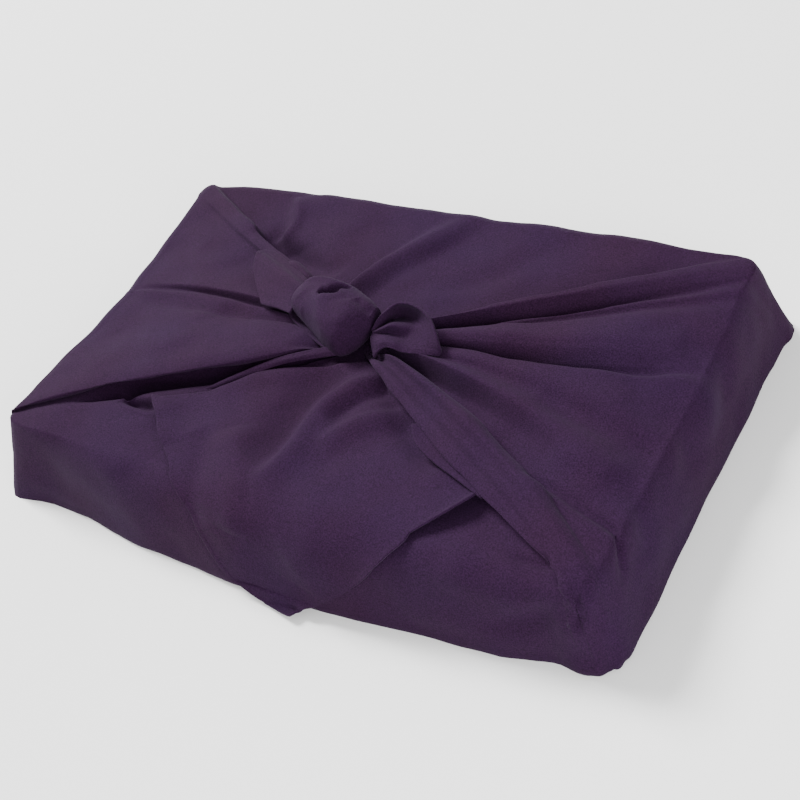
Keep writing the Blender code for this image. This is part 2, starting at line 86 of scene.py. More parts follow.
# Folds in order round the knot, anticlockwise from the right back corner.
# name, angle at the knot / half-way / at the rim, height over the top there in mm, strips to the next row
FOLDS = (
    ("back foot right",          46.0,   47.6,   47.2,   2.5,   0.0,   2.0,  2),
    ("back field right",         60.0,   62.0,   60.0,   2.5,   0.5,   4.8,  4),
    ("back ridge foot",         112.0,   89.5,   80.0,   0.5,  -0.4,   4.3,  2),
    ("back ridge",              125.0,   99.0,   85.5,   7.0,   5.0,   5.6,  1),
    ("back ridge west foot",    126.5,  103.0,   90.0,   2.5,   0.8,   4.3,  2),
    ("back field left",         129.0,  117.0,  108.0,   2.0,   1.8,   4.6,  3),
    ("back hollow edge",        129.8,  126.0,  119.0,   0.0,  -1.5,   4.0,  1),
    ("back hollow",             130.4,  129.8,  124.0,  -3.0,  -4.0,   4.0,  1),
    ("back foot left",          131.0,  132.9,  133.6,  -3.5,  -5.0,   0.5,  1),
    ("left rear edge",          131.8,  134.2,  135.0,   6.0,   5.8,   3.5,  1),
    ("left rear crest",         133.4,  135.2,  135.7,   8.8,   7.6,   4.0,  1),
    ("left rear strip",         137.0,  137.6,  137.2,   8.6,   6.8,   3.6,  1),
    ("left rear strip edge",    139.5,  139.2,  138.4,   8.0,   6.0,   3.2,  1),
    ("left rear line",          141.2,  140.2,  139.3,   4.5,   3.4,   2.0,  1),
    ("left rear hollow",        146.0,  143.5,  142.5,   4.2,   2.4,   0.8,  2),
    ("left rear field",         154.0,  153.0,  153.0,   5.5,   3.8,  -0.8,  3),
    ("left upper ridge",        160.0,  166.0,  172.5,   8.0,   6.0,  -1.0,  1),
    ("left upper groove",       166.0,  168.3,  175.0,   2.0,   1.6,  -1.2,  1),
    ("left low step",           169.5,  172.0,  176.2,   6.4,   5.4,  -0.9,  2),
    ("left low groove",         178.0,  180.8,  178.0,   4.2,   3.0,  -1.1,  1),
    ("left low ridge",          182.5,  185.0,  182.0,   6.6,   5.4,  -1.0,  2),
    ("left field",              193.0,  193.0,  193.0,   8.5,   7.0,  -1.5,  3),
    ("left soft ridge",         209.0,  205.0,  204.0,  10.0,   8.5,   0.2,  3),
    ("left front roll",         223.0,  217.0,  217.5,  10.5,   9.0,   2.0,  2),
    ("left front lip",          231.0,  223.3,  222.8,   9.0,   7.0,   1.5,  1),
    ("left front under",        230.5,  221.8,  222.7,   6.5,   4.9,   1.0,  1),
    ("left hollow roof",        224.0,  213.5,  222.5,   5.0,   4.0,   0.6,  1),
    ("left hollow back",        223.0,  212.5,  222.5,  -0.5,  -1.0,   0.1,  1),
    ("left hollow floor",       226.0,  217.5,  222.5,  -5.0,  -8.0,  -0.4,  1),
    ("left hollow wall",        231.0,  224.9,  222.7,  -5.0,  -7.0,  -0.3,  1),
    ("left front fold",         232.5,  226.3,  223.0,  -2.0,  -0.2,   0.0,  1),
    ("left front edge",         235.0,  228.5,  224.0,   0.0,   0.6,   0.3,  2),
    ("front left",              246.0,  240.0,  243.0,  -1.0,  -2.0,  -0.5,  3),
    ("front middle left",       264.0,  263.0,  260.0,  -1.0,  -4.0,  -2.0,  2),
    ("front middle",            287.0,  271.5,  267.0,  -1.0,  -4.0,  -2.0,  2),
    ("front middle right",      291.0,  282.0,  278.0,  -1.0,  -3.5,  -1.5,  3),
    ("front right",             296.0,  296.0,  296.0,  -1.0,  -2.0,  -0.5,  3),
    ("band hollow floor",       300.0,  306.0,  312.4,  -3.0,  -3.5,  -0.5,  1),
    ("band hollow back",        306.0,  312.5,  313.9,  -1.0,  -0.5,  -0.2,  1),
    ("band hollow roof",        307.0,  312.8,  314.0,   5.0,   3.5,   0.1,  1),
    ("band under",              304.5,  310.4,  313.0,   7.0,   4.8,   0.4,  1),
    ("band lip",                304.0,  309.2,  312.6,   8.5,   6.3,   1.2,  1),
    ("band edge",               306.0,  310.9,  313.2,   9.8,   7.8,   1.9,  1),
    ("band left swell",         310.0,  312.8,  313.5,  10.6,   8.8,   2.2,  1),
    ("band trough",             316.0,  315.3,  314.3,   9.2,   7.2,   1.9,  1),
    ("band crest foot",         319.5,  317.4,  314.9,  10.0,   8.2,   2.1,  1),
    ("band crest",              323.5,  320.2,  315.8,  13.2,  11.6,   2.7,  1),
    ("band right edge",         328.0,  323.6,  316.8,  10.4,   8.0,   1.6,  1),
    ("band foot right",         330.0,  325.2,  317.8,  -1.0,   0.2,   0.1,  1),
    ("right valley",            335.0,  331.0,  324.0,  -2.5,   0.0,  -0.8,  3),
    ("right bulge",             345.0,  341.0,  334.0,  10.5,   9.2,  -1.0,  3),
    ("right soft trough",       352.0,  350.5,  344.5,   9.0,   6.0,  -1.9,  2),
    ("right second swell",      357.5,  357.5,  357.0,   9.6,   8.2,  -0.6,  1),
    ("right bulge edge",        364.0,  364.5,  372.5,   8.8,   7.6,  -1.2,  1),
    ("right long groove",       367.5,  368.6,  376.5,  -1.5,  -2.5,  -2.0,  1),
    ("right leaf foot",         370.0,  371.4,  379.0,   2.0,   0.8,  -1.6,  2),
    ("right leaf edge",         376.0,  376.8,  383.5,   9.0,   7.4,  -1.0,  2),
    ("right leaf",              383.0,  381.5,  388.0,  10.5,   9.3,  -0.5,  2),
    ("right leaf rear",         389.0,  391.0,  394.0,   8.5,   6.5,  -0.5,  1),
    ("right thin groove",       392.0,  394.8,  397.0,   3.0,   2.4,  -1.2,  1),
    ("right thin ridge",        394.0,  396.8,  399.0,   1.5,   3.8,  -0.4,  1),
    ("right deep groove",       396.5,  399.4,  400.8,  -3.5,  -1.5,  -0.9,  1),
    ("right rear slope",        398.8,  401.6,  402.2,   3.5,   3.4,   0.4,  1),
    ("right rear roll",         401.0,  403.9,  403.9,  10.2,   7.3,   1.6,  1),
    ("right rear crest",        402.5,  405.3,  405.3,  10.0,   7.4,   1.8,  1),
    ("right rear edge",         404.0,  406.4,  406.2,   7.5,   5.6,   1.6,  1),
)
HOLLOW_CLOSES = (0.66, 0.84)   # the hollow under the left front lip is closed between these, on the way out
CLOSED_HOLLOW = (
    # what the heights of its folds come to there
    ("left front under",    0.9),
    ("left hollow roof",    0.5),
    ("left hollow back",    0.1),
    ("left hollow floor",  -0.3),
    ("left hollow wall",   -0.1),
)
FINE = 7                       # meridians for each strip of the table
TOP_RING_COUNT, SIDE_RING_COUNT = 96, 34
INNERMOST = 0.04               # how far out the first ring is

# The side, from the rim down to the floor.
# share of the way out to the foot, height, lean of the cloth (0 lies flat, 1 upright), share of the fold left
SIDE = (
    (0.00, 50.0, 0.25, 1.00),
    (0.13, 49.3, 0.40, 0.98),
    (0.27, 47.5, 0.58, 0.90),
    (0.41, 44.5, 0.74, 0.76),
    (0.54, 40.0, 0.87, 0.58),
    (0.66, 33.5, 0.95, 0.40),
    (0.77, 25.5, 1.00, 0.26),
    (0.88, 16.0, 1.00, 0.13),
    (0.96, 8.0, 1.00, 0.05),
    (1.00, 3.0, 1.00, 0.00),
    (0.985, 0.6, 1.00, 0.00),
    (0.95, 0.0, 1.00, 0.00),
)
WALL_ROWS = 9                  # of these, the rows above the turn at the foot
LIP_FADES = 0.35               # share of the folds lost on the side by the place where no lip hangs over

# The flap: the square point of the back corner, hanging over the front. Distances down are from the rim.
FLAP_POINT_DROP = 70.0         # how far down its point is
FLAP_SIDES = (
    # distance down, left side and right side of the flap there, in mm from the middle
    (-92.0,   6.0,  16.0),
    (-84.0, -11.0,  32.0),
    (-76.0, -34.0,  48.0),
    (-68.0, -50.0,  64.0),
    (-60.0, -59.0,  78.0),
    (-50.0, -73.0,  96.0),
    (-44.0, -85.0, 104.0),
    (-38.0, -94.0, 110.0),
    (-34.0, -92.0, 111.0),
    (-24.0, -82.0, 108.5),
    (-16.0, -75.5, 103.0),
    (-6.0,  -64.0,  94.0),
    (0.0,   -57.0,  87.5),
    (5.0,   -48.0,  80.5),
    (12.0,  -40.5,  73.5),
    (22.0,  -34.0,  66.0),
    (34.0,  -27.5,  54.0),
    (43.0,  -21.0,  43.5),
    (51.0,  -12.0,  33.5),
    (60.0,    3.0,  28.0),
    (70.0,   22.0,  24.0),
)
FLAP_PROUD = 1.6                          # how far it lies over the cloth below
FLAP_DIVE, FLAP_DIVE_WIDTH = 11.0, 9.0    # how far its sides sink under the side folds, over this width
FLAP_DIVE_ENDS = (-42.0, -36.0)           # and where that ends on its way down
FLAP_CURL, FLAP_CURL_WIDTH = 3.6, 6.0     # how far the right side curls up on the top, over this width
FLAP_CURL_PLACE, FLAP_CURL_REACH = -18.0, 13.0   # how far down that is most, and how far it goes on
FLAP_HEM_LIFT, FLAP_HEM_REACH = 1.8, 7.0  # how far it stands off the front, over this width
FLAP_POINT_SPREAD = 1.34                  # share of the way out to the foot at the point
FLAP_POINT_LEVEL = 1.6                    # height of the point over the floor
FLAP_LIES_DOWN, FLAP_TURNS = 1.6, 1.3     # how soon, past the foot, it comes down to the floor and lies flat
FLAP_COLUMNS, FLAP_ROWS = 190, 200


# ---- small tools ----

TINY = 1e-12                   # keeps a division from dividing by nothing
LAST_PLACE = 1e-9              # keeps the last place of a curve inside its last stretch


def smooth(t):
    """Soft step from 0 to 1."""
    t = np.clip(t, 0.0, 1.0)
    return t * t * (3.0 - 2.0 * t)


def curve_through(rows, at):
    """A smooth curve through the rows of a table (Catmull-Rom) at the places in at, counted in rows."""
    rows = np.array(rows, dtype=float)
    rows = np.concatenate([2 * rows[:1] - rows[1:2], rows, 2 * rows[-1:] - rows[-2:-1]])
    at = np.clip(at, 0.0, len(rows) - 3 - LAST_PLACE)
    i = at.astype(int)
    t = (at - i).reshape((-1,) + (1,) * (rows.ndim - 1))
    p0, p1, p2, p3 = rows[i], rows[i + 1], rows[i + 2], rows[i + 3]
    return 0.5 * (2 * p1 + (p2 - p0) * t + (2 * p0 - 5 * p1 + 4 * p2 - p3) * t**2
                  + (3 * p1 - p0 - 3 * p2 + p3) * t**3)


def curve_over(rows, x):
    """The other columns of a table at the places x of its first column, as smooth curves."""
    rows = np.array(rows, dtype=float)
    at = np.interp(x, rows[:, 0], np.arange(len(rows)))
    return curve_through(rows[:, 1:], at.ravel()).reshape(np.shape(x) + (-1,))


def unit(vectors):
    """The same directions at length 1."""
    return vectors / np.maximum(np.linalg.norm(vectors, axis=-1, keepdims=True), TINY)


def turned_from(corner, angle):
    """How many degrees each angle has turned from a corner, from -180 to 180."""
    return np.mod(angle - corner + 180.0, 360.0) - 180.0


def grid_normals(points, closed=False):
    """Directions square to a grid of points: the cross product of its two runs, round the ring if closed."""
    down = np.gradient(points, axis=0)
    if closed:
        across = np.roll(points, -1, axis=1) - np.roll(points, 1, axis=1)
    else:
        across = np.gradient(points, axis=1)
    return unit(np.cross(down, across))


def new_mesh(name, points, faces, material):
    """An object of smooth faces from points in mm."""
    mesh = bpy.data.meshes.new(name)
    mesh.from_pydata(np.asarray(points).reshape(-1, 3) * MM, [], faces)
    mesh.shade_smooth()
    mesh.materials.append(material)
    piece = bpy.data.objects.new(name, mesh)
    bpy.context.scene.collection.objects.link(piece)
    return piece


def dress(piece):
    """Ride the piece on the wrap's one body, in place of the wrap's solid."""
    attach(piece, "root")
    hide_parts(NODE)
    return piece


# ---- the wrap's shape ----

def table(rows):
    """The fold table as arrays: angles (rows, 3), heights (rows, 3) and meridians to the next row."""
    angles = np.array([row[1:4] for row in rows])
    heights = np.array([row[4:7] for row in rows])
    strips = np.array([row[7] for row in rows]) * FINE
    return angles, heights, strips


def along_fold(three, out):
    """Value on each fold at each ring: the parabola through those at the knot, half-way and at the rim."""
    out = np.clip(out, OUT_KNOT, OUT_EDGE)
    k = (out - OUT_MID) * (out - OUT_EDGE) / ((OUT_KNOT - OUT_MID) * (OUT_KNOT - OUT_EDGE))
    m = (out - OUT_KNOT) * (out - OUT_EDGE) / ((OUT_MID - OUT_KNOT) * (OUT_MID - OUT_EDGE))
    e = (out - OUT_KNOT) * (out - OUT_MID) / ((OUT_EDGE - OUT_KNOT) * (OUT_EDGE - OUT_MID))
    return np.stack([k, m, e], axis=-1) @ three.T


def close_hollow(heights, outs):
    """The heights of the folds with the hollow under the left front lip closed near the rim."""
    names = [row[0] for row in FOLDS]
    closed = smooth((outs - HOLLOW_CLOSES[0]) / (HOLLOW_CLOSES[1] - HOLLOW_CLOSES[0]))
    for name, height in CLOSED_HOLLOW:
        fold = names.index(name)
        heights[:, fold] += (height - heights[:, fold]) * closed
    return heights


def round_the_knot(rows, strips, turn):
    """Value on each meridian from one value for each fold: a cubic that is level at every crest and trough.

    rows is (rings, folds). turn is what one whole round adds: 360 for an angle and 0 for a height.
    """
    ahead = np.concatenate([rows[:, 1:], rows[:, :1] + turn], axis=1)
    rise = (ahead - rows) / strips
    before = np.roll(rise, 1, axis=1)
    level = rise * before <= 0
    slope = np.where(level, 0.0, 2.0 * rise * before / np.where(level, 1.0, rise + before))
    slope_ahead = np.roll(slope, -1, axis=1)
    row = np.repeat(np.arange(rows.shape[1]), strips)
    first = np.repeat(np.cumsum(strips) - strips, strips)
    n = strips[row]
    t = (np.arange(len(row)) - first) / n
    return ((2 * t**3 - 3 * t**2 + 1) * rows[:, row] + (t**3 - 2 * t**2 + t) * n * slope[:, row]
            + (3 * t**2 - 2 * t**3) * ahead[:, row] + (t**3 - t**2) * n * slope_ahead[:, row])


def outline(angle, half):
    """Points of a rectangle with soft corners in the direction of each angle, and its outward directions.

    It is a superellipse: the share of each half side, to the power CORNER_POWER, adds up to 1.
    """
    c = np.cos(np.radians(angle))
    s = np.sin(np.radians(angle))
    reach = (np.abs(c)**CORNER_POWER + np.abs(s)**CORNER_POWER)**(-1.0 / CORNER_POWER)
    points = np.stack([half[0] * reach * c, half[1] * reach * s], axis=-1)
    nx = np.sign(c) * np.abs(reach * c)**(CORNER_POWER - 1) / half[0]
    ny = np.sign(s) * np.abs(reach * s)**(CORNER_POWER - 1) / half[1]
    return points, unit(np.stack([nx, ny], axis=-1))


def ears(angle, where):
    """How far the corners stick out at the rim or at the foot: a bell about each corner's angle."""
    push = np.zeros(angle.shape + (2,))
    for row in CORNER_EARS:
        from_corner = turned_from(row[0], angle) / CORNER_EAR_WIDTH
        push += np.exp(-from_corner**2)[..., None] * np.array(row[where])
    return push


def droop(angle, out):
    """How far the top has fallen near the rim: the square of the way along, on the front and the right."""
    round_from_back = np.mod(angle - BACK, 360.0) + BACK
    return (curve_over(RIM_DROOP, round_from_back)[..., 0]
            * np.clip((out - DROOP_START) / (1.0 - DROOP_START), 0.0, 1.0)**2)


def rim_line(angle):
    """Outline of the top: the top rectangle, drawn in a little along the middle of the left side."""
    points, away = outline(angle, TOP_HALF)
    waist = LEFT_WAIST * np.exp(-((np.mod(angle, 360.0) - LEFT_WAIST_ANGLE) / LEFT_WAIST_WIDTH)**2)
    return points + np.stack([waist, 0.0 * waist], axis=-1) + ears(angle, AT_RIM), away


def foot_line(angle):
    """Outline of the foot: the base rectangle, spread out along the front by the table of the front foot."""
    points, away = outline(angle, BASE_HALF)
    spread = np.clip(-away[..., 1], 0.0, 1.0) * curve_over(FRONT_FOOT, points[..., 0])[..., 0]
    return points + np.stack([0 * spread, -spread], axis=-1) + ears(angle, AT_FOOT), away


def top_points(angle, height, out):
    """Points of the top: the rim's outline times how far out they are, sinking to a seat under the knot."""
    rim, _ = rim_line(angle)
    sink = 1.0 - smooth(out / OUT_KNOT)
    z = TOP_HEIGHT - droop(angle, out) + height * (1.0 - sink) + KNOT_SEAT * sink
    return np.concatenate([rim * out[..., None], z[..., None]], axis=-1)


def side_points(angle, height, share, level, lean, fold_left):
    """Points of the side, a share of the way from the rim to the foot, with what is left of each fold."""
    rim, away = rim_line(angle)
    foot, _ = foot_line(angle)
    proud = height * fold_left
    place = rim + (foot - rim) * share[..., None] + away * (proud * lean)[..., None]
    drooped = level * (1.0 - droop(angle, np.ones_like(angle)) / TOP_HEIGHT)
    return np.concatenate([place, (drooped + proud * (1.0 - lean))[..., None]], axis=-1)


# ---- creases: soft troughs and ridges laid on the cloth's plan ----

CREASE_STEPS = 18              # points along a crease
KEEN_FALL = 1.6                # how fast a keen crease falls off, for each half width
END_POWER = 4                  # the higher, the longer a crease keeps its rise before it fades at its ends
UNEVEN = (
    # broad unevenness of loose cloth: length of the wave, its direction in degrees, its size, its phase
    (61.0,  12.0, 0.35, 0.4),
    (47.0, 151.0, 0.30, 2.1),
    (33.0,  78.0, 0.22, 4.0),
    (24.0, 118.0, 0.14, 1.2),
    (17.0,  41.0, 0.08, 5.3),
)


def crease_height(places, creases):
    """Rise of a set of creases at places of the plan, or in space.

    Each crease is a smooth curve through its route, with its rise, its half width and its keenness: the rise
    falls off as a bell away from the curve, drawn to a point where keenness is 1, and fades to nothing at
    both ends. Lean makes one side of the bell steeper: the left side on the way along where it is above 0.
    """
    total = np.zeros(places.shape[:-1])
    for _, rise, half_width, keen, lean, route in creases:
        line = curve_through(route, np.linspace(0.0, len(route) - 1, CREASE_STEPS))
        lengths = np.linalg.norm(np.diff(line, axis=0), axis=1)
        walked = np.concatenate([[0.0], np.cumsum(lengths)]) / lengths.sum()
        gap = np.full(total.shape, np.inf)
        near = np.zeros(total.shape)
        for i, run in enumerate(np.diff(line, axis=0)):
            from_start = places - line[i]
            share = np.clip((from_start @ run) / (run @ run), 0.0, 1.0)
            offset = from_start - share[..., None] * run
            width = half_width
            if lean:
                side = run[0] * from_start[..., 1] - run[1] * from_start[..., 0]
                width = half_width * (1.0 - lean * np.tanh(side / np.linalg.norm(run)))
            apart = np.linalg.norm(offset, axis=-1) / width
            closer = apart < gap
            gap = np.where(closer, apart, gap)
            near = np.where(closer, walked[i] + share * (walked[i + 1] - walked[i]), near)
        bell = (1.0 - keen) * np.exp(-gap**2) + keen * np.exp(-KEEN_FALL * gap)
        total += rise * bell * (1.0 - (2.0 * near - 1.0)**END_POWER)
    return total


def unevenness(plan):
    """Sum of a few long waves over the plan, each bent by the one before."""
    total = np.zeros(plan.shape[:-1])
    for length, direction, size, phase in UNEVEN:
        a = np.radians(direction)
        along = plan[..., 0] * np.cos(a) + plan[..., 1] * np.sin(a)
        total += size * np.sin(2.0 * np.pi * along / length + phase + 2.0 * total)
    return total


BODY_CREASES = (
    # name, rise, half width, keenness, lean, route on the plan
    ("left front pleat hollow",  -0.8,  9.0, 0.0,   0.0, ((-170, -110), (-148, -122), (-128, -136))),
    ("left front foot ridge",     0.5,  4.0, 0.1,   0.0, ((-160, -146), (-138, -149), (-112, -147))),
    ("pocket by the flap",       -6.0,  2.9, 0.0,   0.0, ((-115, -68.5), (-104, -69.5), (-90, -69.5))),
    ("lip of that pocket",        1.0,  2.0, 0.0,   0.0, ((-115, -73.5), (-103, -74.5), (-90, -74))),
    ("front left soft fold",      0.6,  8.0, 0.0,   0.0,
     ((-150, -88), (-118, -96), (-90, -112), (-70, -130))),
    ("room under the flap",      -6.0, 17.0, 0.0,   0.0,
     ((18, -18), (5, -46), (-7, -70), (-19, -88), (-36, -106))),
    ("right front tuck",         -2.5,  2.6, 0.3,   0.0, ((136, -97), (146, -98), (158, -99))),
    ("right front tuck below",   -1.8,  2.4, 0.3,   0.0, ((138, -101), (150, -103), (163, -102))),
    ("right front long hollow",  -2.0,  5.0, 0.1,   0.0, ((120, -140), (140, -128), (166, -110))),
    ("right front swell",         1.6,  9.0, 0.0,   0.0, ((104, -104), (124, -114), (140, -118))),
    ("rim crease",               -3.6,  2.3, 0.4,   0.4,
     ((126, -56.5), (142, -60), (157, -65), (171, -69), (184, -74), (196, -80))),
    ("rim crease lip",            1.8,  3.0, 0.2,   0.0,
     ((126, -61.5), (142, -65), (157, -70), (170, -74), (182, -78))),
    ("right field hollow",       -2.2,  7.0, 0.0,   0.0, ((112, -12), (134, -18), (158, -21), (176, -20))),
    ("right field hollow, far",  -1.6,  7.0, 0.0,   0.0, ((146, 8), (166, 12), (188, 14))),
    ("right field swell",         1.6,  8.0, 0.0,   0.0, ((130, -42), (150, -41), (170, -38))),
    ("right rim dent, back",     -1.8,  8.0, 0.0,   0.0, ((160, 44), (178, 42), (204, 30))),
    ("right rim dent, middle",   -2.0,  9.0, 0.0,   0.0, ((150, 0), (174, -4), (206, -14))),
    ("right rim swell",           1.6,  8.0, 0.0,   0.0, ((156, 20), (178, 18), (206, 8))),
    ("right rim dent, front",    -1.8,  7.0, 0.0,   0.0, ((160, -44), (178, -50), (204, -62))),
    ("back kink",                 2.0,  3.0, 0.1,   0.4,
     ((-107, 66), (-100, 68.5), (-94, 72), (-92, 79), (-94, 87), (-100, 94), (-107, 99))),
    ("fall beyond the kink",      3.4, 12.0, 0.0,   0.6, ((-92, 60), (-94, 70), (-96, 82), (-101, 100))),
    ("hollow by the strip",      -4.0,  6.0, 0.0,  -0.2,
     ((-112, 67), (-97, 62.5), (-82, 57), (-64, 51), (-42, 45))),
    ("end of the strip",          3.0,  5.0, 0.0,   0.0, ((-70, 42), (-61, 37), (-53, 32), (-46, 27))),
    ("back field soft hollow",   -1.2,  8.0, 0.0,   0.0, ((-142, 50), (-122, 46), (-104, 40), (-86, 32))),
    ("back field hollow",        -1.6,  9.0, 0.0,   0.0, ((20, 45), (50, 66), (70, 96))),
)
CORNER_CREASES = (
    # the same in space, at the right front corner
    ("slit",                         -5.8,  1.9, 0.2,   0.0,
     ((171.5, -105.5, 45), (173, -107.5, 38.5), (173.3, -110, 33), (172.6, -111.4, 27))),
    ("fold beside the slit",          2.3,  1.9, 0.0,   0.0,
     ((174.5, -104.5, 44), (177, -106.3, 37), (178.5, -107.5, 30))),
    ("long crease down the corner",  -5.0,  2.2, 0.3,   0.0,
     ((176.5, -105, 39), (179.8, -106.4, 31.5), (181.9, -107.5, 18), (183.4, -110, 3))),
    ("hollow at the foot",           -2.8,  4.5, 0.0,   0.0,
     ((164, -112.5, 11), (172, -112, 10), (180, -110, 9))),
)


def body():
    """The cloth round the box: rings from the knot out to the rim, down the side and in under the base.

    The angle and height of each point come from the fold table, the same way as in the solid but finer. The
    creases and the unevenness then lift or sink it square to the cloth, and nothing goes below the floor.
    """
    angles, heights, strips = table(FOLDS)
    outs = np.concatenate([np.linspace(INNERMOST, OUT_EDGE, TOP_RING_COUNT, endpoint=False),
                           np.full(SIDE_RING_COUNT, OUT_EDGE)])
    angle = round_the_knot(along_fold(angles, outs), strips, 360.0)
    height = round_the_knot(close_hollow(along_fold(heights, outs), outs), strips, 0.0)
    side = curve_through(SIDE, np.linspace(0.0, len(SIDE) - 1, SIDE_RING_COUNT))
    on_top, on_side = slice(0, TOP_RING_COUNT), slice(TOP_RING_COUNT, None)
    lip_gone = smooth((1.0 - side[:, 3:4]) / LIP_FADES)
    angle[on_side] += (np.sort(angle[on_side], axis=1) - angle[on_side]) * lip_gone
    out = np.broadcast_to(outs[:, None], angle.shape)
    top = top_points(angle[on_top], height[on_top], out[on_top])
    columns = [np.broadcast_to(side[:, i:i + 1], angle[on_side].shape) for i in range(4)]
    share, level, lean, fold_left = columns
    for corner in STRAIGHT_CORNERS:
        from_corner = turned_from(corner, angle[on_side]) / STRAIGHT_CORNER_WIDTH
        straight = 1.0 - level / TOP_HEIGHT
        share = share + (straight - share) * np.exp(-from_corner**2)
    wall = side_points(angle[on_side], height[on_side], share, level, lean, fold_left)
    points = np.concatenate([top, wall])
    rim, away = rim_line(angle)
    down = np.zeros(len(outs))
    down[on_side] = SIDE_LENGTH * (1.0 - side[:, 1] / TOP_HEIGHT)
    plan = rim * out[..., None] + away * down[:, None, None]
    rise = crease_height(plan, BODY_CREASES) + crease_height(points, CORNER_CREASES) + unevenness(plan)
    points += grid_normals(points, closed=True) * rise[..., None]
    points[..., 2] = np.maximum(points[..., 2], 0.0)
    return points


def closed_rings(name, rings, material):
    """A closed skin over rings of points, with a point at each end."""
    count, around = rings.shape[:2]
    start, end = rings[0].mean(axis=0), rings[-1].mean(axis=0)
    i = np.arange(around)
    n = np.roll(i, -1)
    rows = np.arange(count - 1)[:, None] * around
    quads = np.stack([rows + i, rows + around + i, rows + around + n, rows + n], axis=-1).reshape(-1, 4)
    last = (count - 1) * around
    first_fan = np.stack([np.full(around, count * around), i, n], axis=-1)
    last_fan = np.stack([np.full(around, count * around + 1), last + n, last + i], axis=-1)
    points = np.concatenate([rings.reshape(-1, 3), [start, end]])
    return new_mesh(name, points, quads.tolist() + first_fan.tolist() + last_fan.tolist(), material)


def cloth_sheet(name, points, material, hem):
    """A sheet of cloth from a grid of points: one layer above and one below it, closed round its edge.

    hem names the edges that have a hem (left, right, start, end): the cloth is thicker along them.
    """
    rows, columns = points.shape[:2]
    normal = grid_normals(points)
    across = np.concatenate([np.zeros((rows, 1)),
                             np.cumsum(np.linalg.norm(np.diff(points, axis=1), axis=-1), axis=1)], axis=1)
    along = np.concatenate([np.zeros((1, columns)),
                            np.cumsum(np.linalg.norm(np.diff(points, axis=0), axis=-1), axis=0)], axis=0)
    reach = {"left": across, "right": across[:, -1:] - across, "start": along, "end": along[-1:] - along}
    half = np.full((rows, columns), CLOTH_THICK / 2.0)
    for edge in hem:
        inside = reach[edge]
        bead = smooth((HEM_WIDTH + HEM_STEP_PAST - inside) / HEM_STEP)
        bead = bead * (1.0 - HEM_ROLL + HEM_ROLL * np.exp(-inside**2))
        half = np.maximum(half, CLOTH_THICK / 2.0 + (HEM_THICK - CLOTH_THICK) / 2.0 * bead)
    layers = np.concatenate([(points + normal * half[..., None]).reshape(-1, 3),
                             (points - normal * half[..., None]).reshape(-1, 3)])
    index = np.arange(rows * columns).reshape(rows, columns)
    quads = np.stack([index[:-1, :-1], index[1:, :-1], index[1:, 1:], index[:-1, 1:]], axis=-1).reshape(-1, 4)
    edge = np.concatenate([index[0, :-1], index[:-1, -1], index[-1, :0:-1], index[:0:-1, 0]])
    after = np.roll(edge, -1)
    below = rows * columns
    rim = np.stack([edge, after, after + below, edge + below], axis=-1)
    faces = np.concatenate([quads, quads[:, ::-1] + below, rim])
    return new_mesh(name, layers, faces.tolist(), material)


# ---- the flap ----

FLAP_CREASES = (
    # name, rise, half width, keenness, lean, route on the plan
    ("rise of the left corner",   2.4, 12.0, 0.0,   0.0, ((-106, -58), (-92, -68), (-80, -80), (-70, -94))),
    ("main ridge",                5.5,  8.0, 0.1,  -0.3,
     ((31, -10), (23, -22), (13, -31), (6, -43), (3, -57), (3.5, -70), (3, -81), (-1, -93), (-7, -100))),
    ("hollow left of it",        -5.2, 13.0, 0.0,  0.25,
     ((2, -20), (-7, -38), (-9, -56), (-8, -73), (-13, -89))),
    ("bulge at the rim",          3.0, 11.0, 0.0,   0.0,
     ((-34, -70), (-24, -84), (-16, -97), (-12, -108), (-13, -118))),
    ("hollow at the left hem",   -2.4,  8.0, 0.0,   0.0,
     ((-54, -77), (-46, -87), (-41, -97), (-38, -108), (-32, -122))),
    ("rise by the inner fold",    2.4,  7.0, 0.0,   0.0, ((-66, -51), (-46, -39), (-24, -26), (6, -10))),
    ("dip beside the band",      -4.4,  8.0, 0.0,   0.0,
     ((20, -14), (36, -29), (50, -42), (67, -56), (86, -65))),
    ("dip under the knot",       -3.0,  5.0, 0.0,   0.0, ((36, -16), (28, -28), (19, -42), (14, -56))),
    ("second ridge",              2.8,  6.0, 0.0,  -0.3,
     ((56, -27), (46, -36), (33, -47), (24, -57), (17, -70))),
    ("hollow under it",          -1.6,  7.0, 0.0,   0.0, ((58, -44), (43, -55), (32, -67), (24, -84))),
    ("swell on the front",        1.8, 12.0, 0.0,   0.0, ((40, -92), (34, -112), (26, -140))),
)


